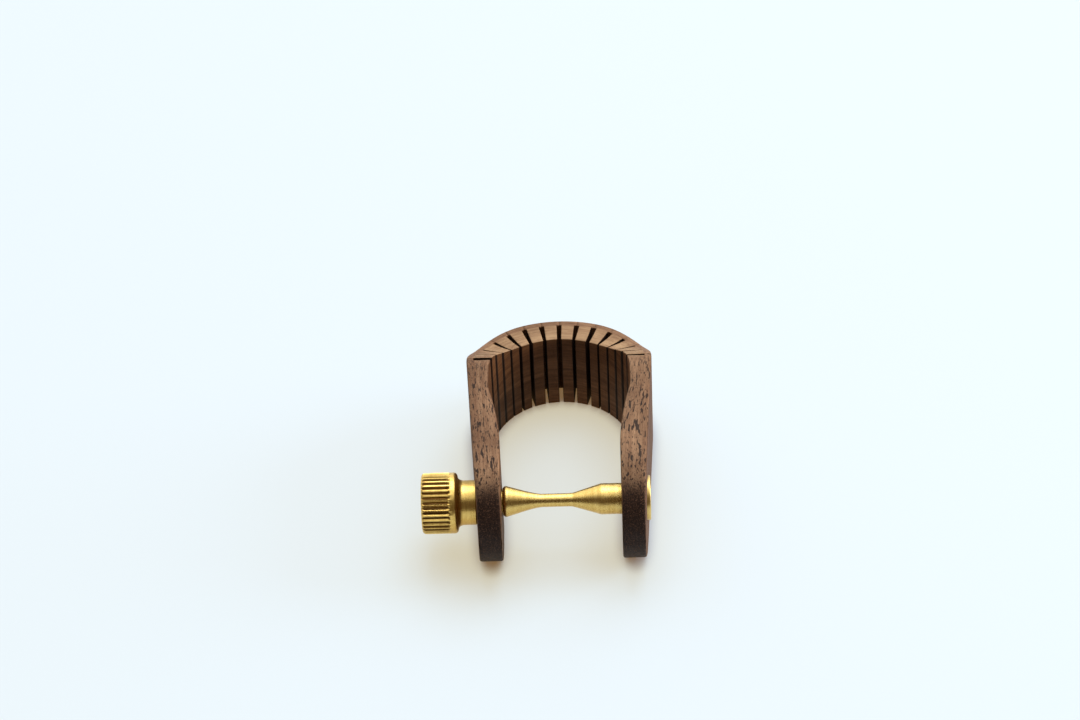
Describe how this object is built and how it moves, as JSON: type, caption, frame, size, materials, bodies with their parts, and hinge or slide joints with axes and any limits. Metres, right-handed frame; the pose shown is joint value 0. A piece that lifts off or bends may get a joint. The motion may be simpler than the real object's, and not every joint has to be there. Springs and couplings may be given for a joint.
{
  "type": "saxophone ligature",
  "caption": "U-shaped kerf-bent walnut strap with two rounded arms, drawn together by a turned brass thumb screw to clamp a reed onto a mouthpiece.",
  "frame": {"origin": "on the mouthpiece's axis, level with the thumb screw", "axes": "+Z along the mouthpiece, +Y from the thumb screw towards the crown of the strap, +X towards the right arm, away from the knob"},
  "size_m": [0.0434, 0.0541, 0.022],
  "materials": {
    "walnut": "oiled, open-pored, satin",
    "turned_brass": "turned and lightly polished, unlacquered"
  },
  "bodies": {
    "slat_01": {"slat_01": "walnut"},
    "slat_02": {"slat_02": "walnut"},
    "slat_03": {"slat_03": "walnut"},
    "slat_04": {"slat_04": "walnut"},
    "slat_05": {"slat_05": "walnut"},
    "slat_06": {"slat_06": "walnut"},
    "slat_07": {"slat_07": "walnut"},
    "slat_08": {"slat_08": "walnut"},
    "slat_09": {"slat_09": "walnut"},
    "slat_10": {"slat_10": "walnut"},
    "slat_11": {"slat_11": "walnut"},
    "slat_12": {"slat_12": "walnut"},
    "slat_13": {"slat_13": "walnut"},
    "slat_14": {"slat_14": "walnut"},
    "left_arm": {"left_arm": "walnut"},
    "right_arm": {"right_arm": "walnut", "flange_bush": "turned_brass"},
    "liner_bush": {"liner_bush": "turned_brass"},
    "thumb_screw": {"spindle": "turned_brass", "thumb_knob": "turned_brass"}
  },
  "joints": [
    {"name": "bend_slat_08", "type": "hinge", "parent": "slat_07", "child": "slat_08", "pos_m": [0, 0.01785, 0], "axis": [0, 0, -1], "range_deg": [-0.088, 0.243]},
    {"name": "bend_slat_09", "type": "hinge", "parent": "slat_07", "child": "slat_09", "pos_m": [0.00174, 0.01772, 0], "axis": [0, 0, -1], "range_deg": [-0.165, 0.476]},
    {"name": "bend_slat_10", "type": "hinge", "parent": "slat_07", "child": "slat_10", "pos_m": [0.00346, 0.0174, 0], "axis": [0, 0, -1], "range_deg": [-0.243, 0.709]},
    {"name": "bend_slat_11", "type": "hinge", "parent": "slat_07", "child": "slat_11", "pos_m": [0.00512, 0.01687, 0], "axis": [0, 0, -1], "range_deg": [-0.32, 0.94]},
    {"name": "bend_slat_12", "type": "hinge", "parent": "slat_07", "child": "slat_12", "pos_m": [0.00667, 0.01611, 0], "axis": [0, 0, -1], "range_deg": [-0.4, 1.18]},
    {"name": "bend_slat_13", "type": "hinge", "parent": "slat_07", "child": "slat_13", "pos_m": [0.00806, 0.01512, 0], "axis": [0, 0, -1], "range_deg": [-0.48, 1.41]},
    {"name": "bend_slat_14", "type": "hinge", "parent": "slat_07", "child": "slat_14", "pos_m": [0.00924, 0.01394, 0], "axis": [0, 0, -1], "range_deg": [-0.55, 1.64]},
    {"name": "bend_right_arm", "type": "hinge", "parent": "slat_07", "child": "right_arm", "pos_m": [0.01018, 0.01262, 0], "axis": [0, 0, -1], "range_deg": [-0.63, 1.88]},
    {"name": "bend_slat_06", "type": "hinge", "parent": "slat_07", "child": "slat_06", "pos_m": [-0.00349, 0.01758, 0], "axis": [0, 0, 1], "range_deg": [-0.088, 0.243]},
    {"name": "bend_slat_05", "type": "hinge", "parent": "slat_07", "child": "slat_05", "pos_m": [-0.00519, 0.01718, 0], "axis": [0, 0, 1], "range_deg": [-0.165, 0.476]},
    {"name": "bend_slat_04", "type": "hinge", "parent": "slat_07", "child": "slat_04", "pos_m": [-0.00683, 0.01655, 0], "axis": [0, 0, 1], "range_deg": [-0.243, 0.709]},
    {"name": "bend_slat_03", "type": "hinge", "parent": "slat_07", "child": "slat_03", "pos_m": [-0.00834, 0.01567, 0], "axis": [0, 0, 1], "range_deg": [-0.32, 0.94]},
    {"name": "bend_slat_02", "type": "hinge", "parent": "slat_07", "child": "slat_02", "pos_m": [-0.00967, 0.01457, 0], "axis": [0, 0, 1], "range_deg": [-0.4, 1.18]},
    {"name": "bend_slat_01", "type": "hinge", "parent": "slat_07", "child": "slat_01", "pos_m": [-0.01078, 0.01329, 0], "axis": [0, 0, 1], "range_deg": [-0.48, 1.41]},
    {"name": "bend_left_arm", "type": "hinge", "parent": "slat_07", "child": "left_arm", "pos_m": [-0.01164, 0.01187, 0], "axis": [0, 0, 1], "range_deg": [-0.55, 1.64]},
    {"name": "screw_rock", "type": "hinge", "parent": "left_arm", "child": "liner_bush", "pos_m": [-0.01333, -0.0246, 0], "axis": [0, 0, -1], "range_deg": [-0.6, 1.77]},
    {"name": "knob_turn", "type": "hinge", "parent": "liner_bush", "child": "thumb_screw", "pos_m": [-0.0133, -0.0246, 0], "axis": [1, 0, 0], "range_deg": [-360, 1080]}
  ],
  "couplings": [
    {"joint": "bend_slat_08", "follows": "knob_turn", "ratio": 0.00021582},
    {"joint": "bend_slat_09", "follows": "knob_turn", "ratio": 0.00043164},
    {"joint": "bend_slat_10", "follows": "knob_turn", "ratio": 0.00064747},
    {"joint": "bend_slat_11", "follows": "knob_turn", "ratio": 0.00086329},
    {"joint": "bend_slat_12", "follows": "knob_turn", "ratio": 0.0010791},
    {"joint": "bend_slat_13", "follows": "knob_turn", "ratio": 0.0012949},
    {"joint": "bend_slat_14", "follows": "knob_turn", "ratio": 0.0015108},
    {"joint": "bend_right_arm", "follows": "knob_turn", "ratio": 0.0017266},
    {"joint": "bend_slat_06", "follows": "knob_turn", "ratio": 0.00021582},
    {"joint": "bend_slat_05", "follows": "knob_turn", "ratio": 0.00043164},
    {"joint": "bend_slat_04", "follows": "knob_turn", "ratio": 0.00064747},
    {"joint": "bend_slat_03", "follows": "knob_turn", "ratio": 0.00086329},
    {"joint": "bend_slat_02", "follows": "knob_turn", "ratio": 0.0010791},
    {"joint": "bend_slat_01", "follows": "knob_turn", "ratio": 0.0012949},
    {"joint": "bend_left_arm", "follows": "knob_turn", "ratio": 0.0015108},
    {"joint": "screw_rock", "follows": "knob_turn", "ratio": 0.0016187}
  ]
}
